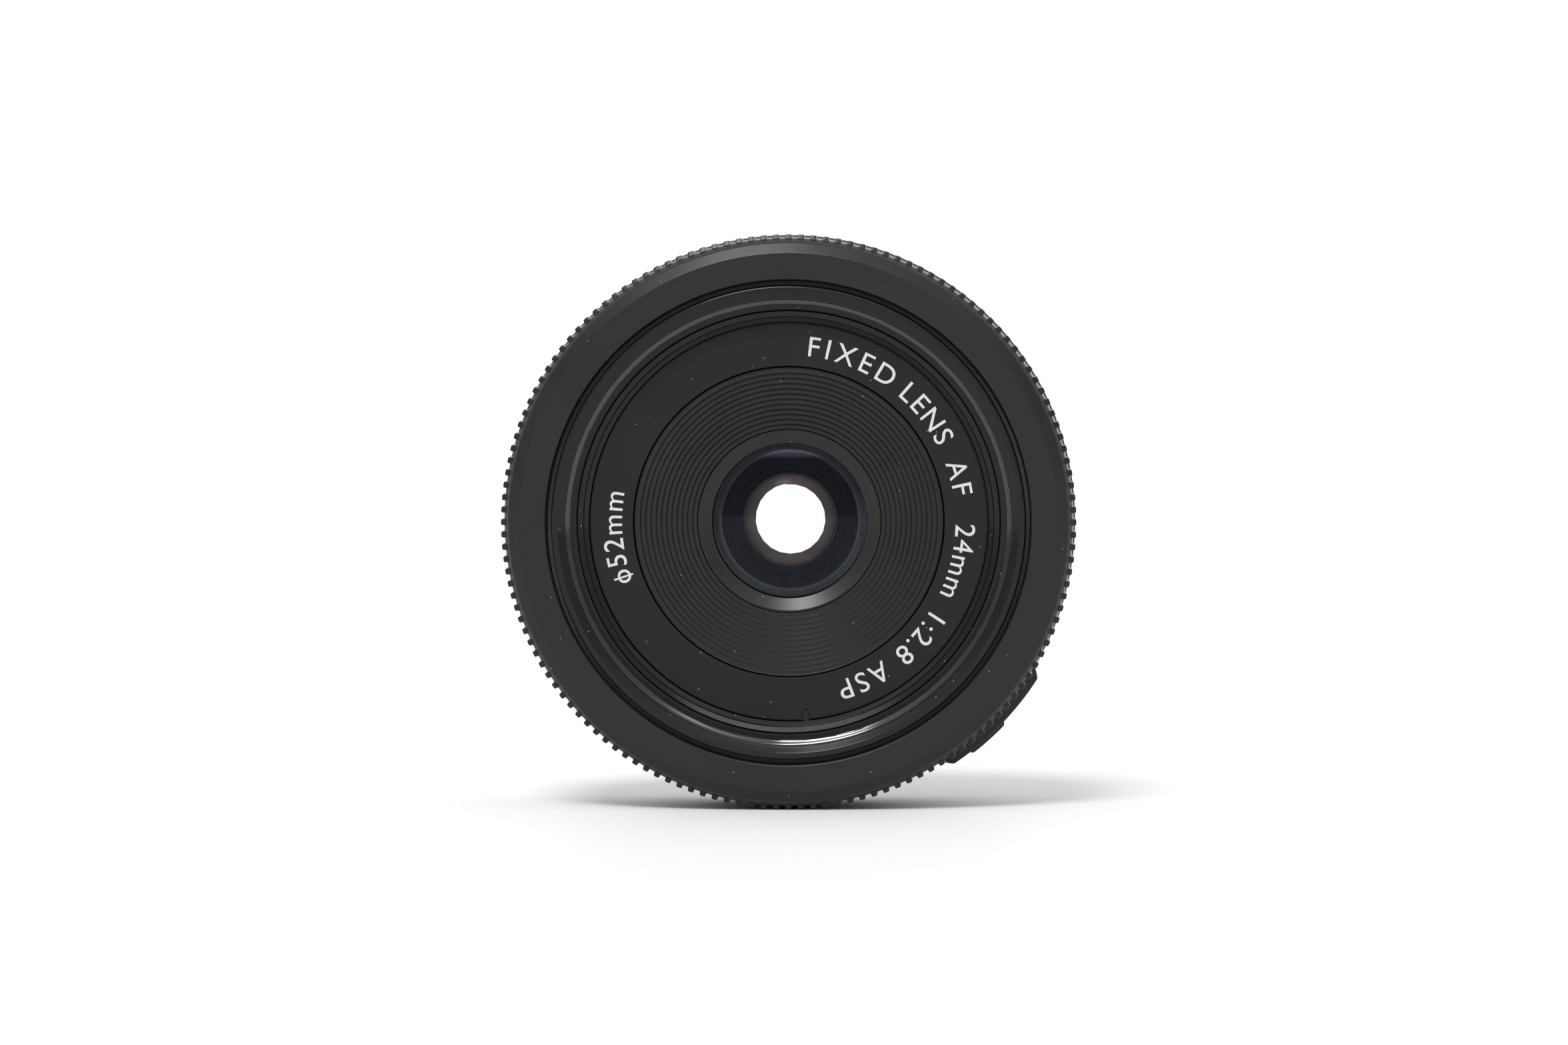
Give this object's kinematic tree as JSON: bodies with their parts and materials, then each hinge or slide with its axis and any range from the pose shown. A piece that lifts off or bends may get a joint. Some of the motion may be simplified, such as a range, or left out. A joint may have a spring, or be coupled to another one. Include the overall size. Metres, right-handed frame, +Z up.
{
  "type": "prime camera lens",
  "caption": "Slim autofocus prime lens: ribbed focus ring, sliding optical unit with iris, name ring, AF/MF switch and three-lug bayonet.",
  "frame": {"origin": "centre of the bounding box's underside: the lens stands on its ribbed rim with its optical axis level", "axes": "+Y along the optical axis from the front glass to the bayonet, +Z up, +X to the right as seen from the front"},
  "size_m": [0.0682, 0.0292, 0.0682],
  "materials": {
    "body_plastic": "fine moulded satin black",
    "rib_plastic": "moulded satin black ribs",
    "name_ring_paint": "flat black paint with printed light grey letters",
    "baffle_black": "stepped matt black",
    "inner_plastic": "matt black moulding",
    "mount_metal": "satin chromed brass",
    "screw_steel": "plated steel",
    "cam_aluminium": "dark anodised",
    "gold_contact": "gold plated",
    "brass_gear": "machined",
    "seal_rubber": "matt black rubber",
    "circuit_board": "green board",
    "flexible_film": "amber film",
    "iris_blade": "black steel",
    "lens_glass": "coated optical glass",
    "index_white": "white inset"
  },
  "bodies": {
    "barrel": {"main_barrel": "body_plastic", "bayonet_mount": "mount_metal", "mount_screw_1": "screw_steel", "mount_screw_2": "screw_steel", "mount_screw_3": "screw_steel", "mount_screw_4": "screw_steel", "index_mark": "index_white", "rear_bezel": "inner_plastic", "rear_rubber_ring": "seal_rubber", "contact_block": "inner_plastic", "contact_strip": "gold_contact", "contact_screw_1": "screw_steel", "contact_screw_2": "screw_steel", "main_board": "circuit_board", "flexible_circuit": "flexible_film", "guide_barrel": "cam_aluminium", "focus_motor": "screw_steel", "motor_bracket": "screw_steel", "idler_axle": "screw_steel", "focus_ring_clip": "screw_steel", "ring_sensor": "inner_plastic", "switch_board": "circuit_board", "detent_spring": "screw_steel"},
    "manual_ring": {"focus_ring": "rib_plastic", "encoder_comb": "inner_plastic"},
    "af_mf_switch": {"switch_knob": "body_plastic"},
    "focus_cam": {"cam_ring": "cam_aluminium"},
    "focus_idler": {"idler_gear": "brass_gear"},
    "focus_pinion": {"motor_pinion": "brass_gear"},
    "optical_unit": {"front_barrel": "body_plastic", "name_ring": "name_ring_paint", "front_baffle": "baffle_black", "front_retaining_ring": "body_plastic", "front_cell": "inner_plastic", "rear_cell": "inner_plastic", "rear_retaining_ring": "inner_plastic", "rear_spacer": "inner_plastic", "focus_carriage": "inner_plastic", "cam_follower_1": "brass_gear", "cam_follower_2": "brass_gear", "cam_follower_3": "brass_gear", "front_element": "lens_glass", "second_element": "lens_glass", "doublet_front_element": "lens_glass", "doublet_rear_element": "lens_glass", "aspheric_element": "lens_glass", "rear_element": "lens_glass", "iris_housing": "inner_plastic", "iris_cover": "inner_plastic", "iris_motor": "screw_steel"},
    "iris_drive": {"iris_drive_ring": "cam_aluminium"},
    "iris_gear": {"iris_pinion": "brass_gear"},
    "blade_1": {"iris_blade_1": "iris_blade"},
    "blade_2": {"iris_blade_2": "iris_blade"},
    "blade_3": {"iris_blade_3": "iris_blade"},
    "blade_4": {"iris_blade_4": "iris_blade"},
    "blade_5": {"iris_blade_5": "iris_blade"},
    "blade_6": {"iris_blade_6": "iris_blade"},
    "blade_7": {"iris_blade_7": "iris_blade"}
  },
  "joints": [
    {"name": "manual_ring_turn", "type": "hinge", "parent": "barrel", "child": "manual_ring", "pos_m": [0, -0.0098, 0.0341], "axis": [0, -1, 0], "continuous": true},
    {"name": "switch_slide", "type": "hinge", "parent": "barrel", "child": "af_mf_switch", "pos_m": [0, -0.001, 0.0341], "axis": [0, -1, 0], "range_deg": [0, 7.1]},
    {"name": "focus_cam_turn", "type": "hinge", "parent": "barrel", "child": "focus_cam", "pos_m": [0, 0.0002, 0.0341], "axis": [0, -1, 0], "range_deg": [0, 90]},
    {"name": "focus_slide", "type": "slide", "parent": "barrel", "child": "optical_unit", "axis": [0, -1, 0], "range_m": [0, 0.006]},
    {"name": "focus_idler_turn", "type": "hinge", "parent": "barrel", "child": "focus_idler", "pos_m": [-0.01952, 0.0045, 0.05362], "axis": [0, -1, 0], "range_deg": [-600, 0]},
    {"name": "focus_pinion_turn", "type": "hinge", "parent": "barrel", "child": "focus_pinion", "pos_m": [-0.02373, 0.0045, 0.04934], "axis": [0, -1, 0], "range_deg": [0, 900]},
    {"name": "iris_ring_turn", "type": "hinge", "parent": "optical_unit", "child": "iris_drive", "pos_m": [0, -0.00015, 0.0341], "axis": [0, -1, 0], "range_deg": [0, 20]},
    {"name": "iris_pinion_turn", "type": "hinge", "parent": "optical_unit", "child": "iris_gear", "pos_m": [0, -0.00015, 0.0473], "axis": [0, -1, 0], "range_deg": [-68, 0]},
    {"name": "blade_swing_1", "type": "hinge", "parent": "optical_unit", "child": "blade_1", "pos_m": [0.0077, 0.0012, 0.0341], "axis": [0, -1, 0], "range_deg": [0, 27]},
    {"name": "blade_swing_2", "type": "hinge", "parent": "optical_unit", "child": "blade_2", "pos_m": [0.0048, 0.0012, 0.04012], "axis": [0, -1, 0], "range_deg": [0, 27]},
    {"name": "blade_swing_3", "type": "hinge", "parent": "optical_unit", "child": "blade_3", "pos_m": [-0.00171, 0.0012, 0.04161], "axis": [0, -1, 0], "range_deg": [0, 27]},
    {"name": "blade_swing_4", "type": "hinge", "parent": "optical_unit", "child": "blade_4", "pos_m": [-0.00694, 0.0012, 0.03744], "axis": [0, -1, 0], "range_deg": [0, 27]},
    {"name": "blade_swing_5", "type": "hinge", "parent": "optical_unit", "child": "blade_5", "pos_m": [-0.00694, 0.0012, 0.03076], "axis": [0, -1, 0], "range_deg": [0, 27]},
    {"name": "blade_swing_6", "type": "hinge", "parent": "optical_unit", "child": "blade_6", "pos_m": [-0.00171, 0.0012, 0.02659], "axis": [0, -1, 0], "range_deg": [0, 27]},
    {"name": "blade_swing_7", "type": "hinge", "parent": "optical_unit", "child": "blade_7", "pos_m": [0.0048, 0.0012, 0.02808], "axis": [0, -1, 0], "range_deg": [0, 27]}
  ],
  "couplings": [
    {"joint": "focus_cam_turn", "follows": "focus_slide", "rad_per_m": 261.8},
    {"joint": "focus_idler_turn", "follows": "focus_slide", "rad_per_m": -1745.3},
    {"joint": "focus_pinion_turn", "follows": "focus_slide", "rad_per_m": 2618},
    {"joint": "iris_pinion_turn", "follows": "iris_ring_turn", "ratio": -3.4},
    {"joint": "blade_swing_1", "follows": "iris_ring_turn", "ratio": 1.35},
    {"joint": "blade_swing_2", "follows": "iris_ring_turn", "ratio": 1.35},
    {"joint": "blade_swing_3", "follows": "iris_ring_turn", "ratio": 1.35},
    {"joint": "blade_swing_4", "follows": "iris_ring_turn", "ratio": 1.35},
    {"joint": "blade_swing_5", "follows": "iris_ring_turn", "ratio": 1.35},
    {"joint": "blade_swing_6", "follows": "iris_ring_turn", "ratio": 1.35},
    {"joint": "blade_swing_7", "follows": "iris_ring_turn", "ratio": 1.35}
  ]
}
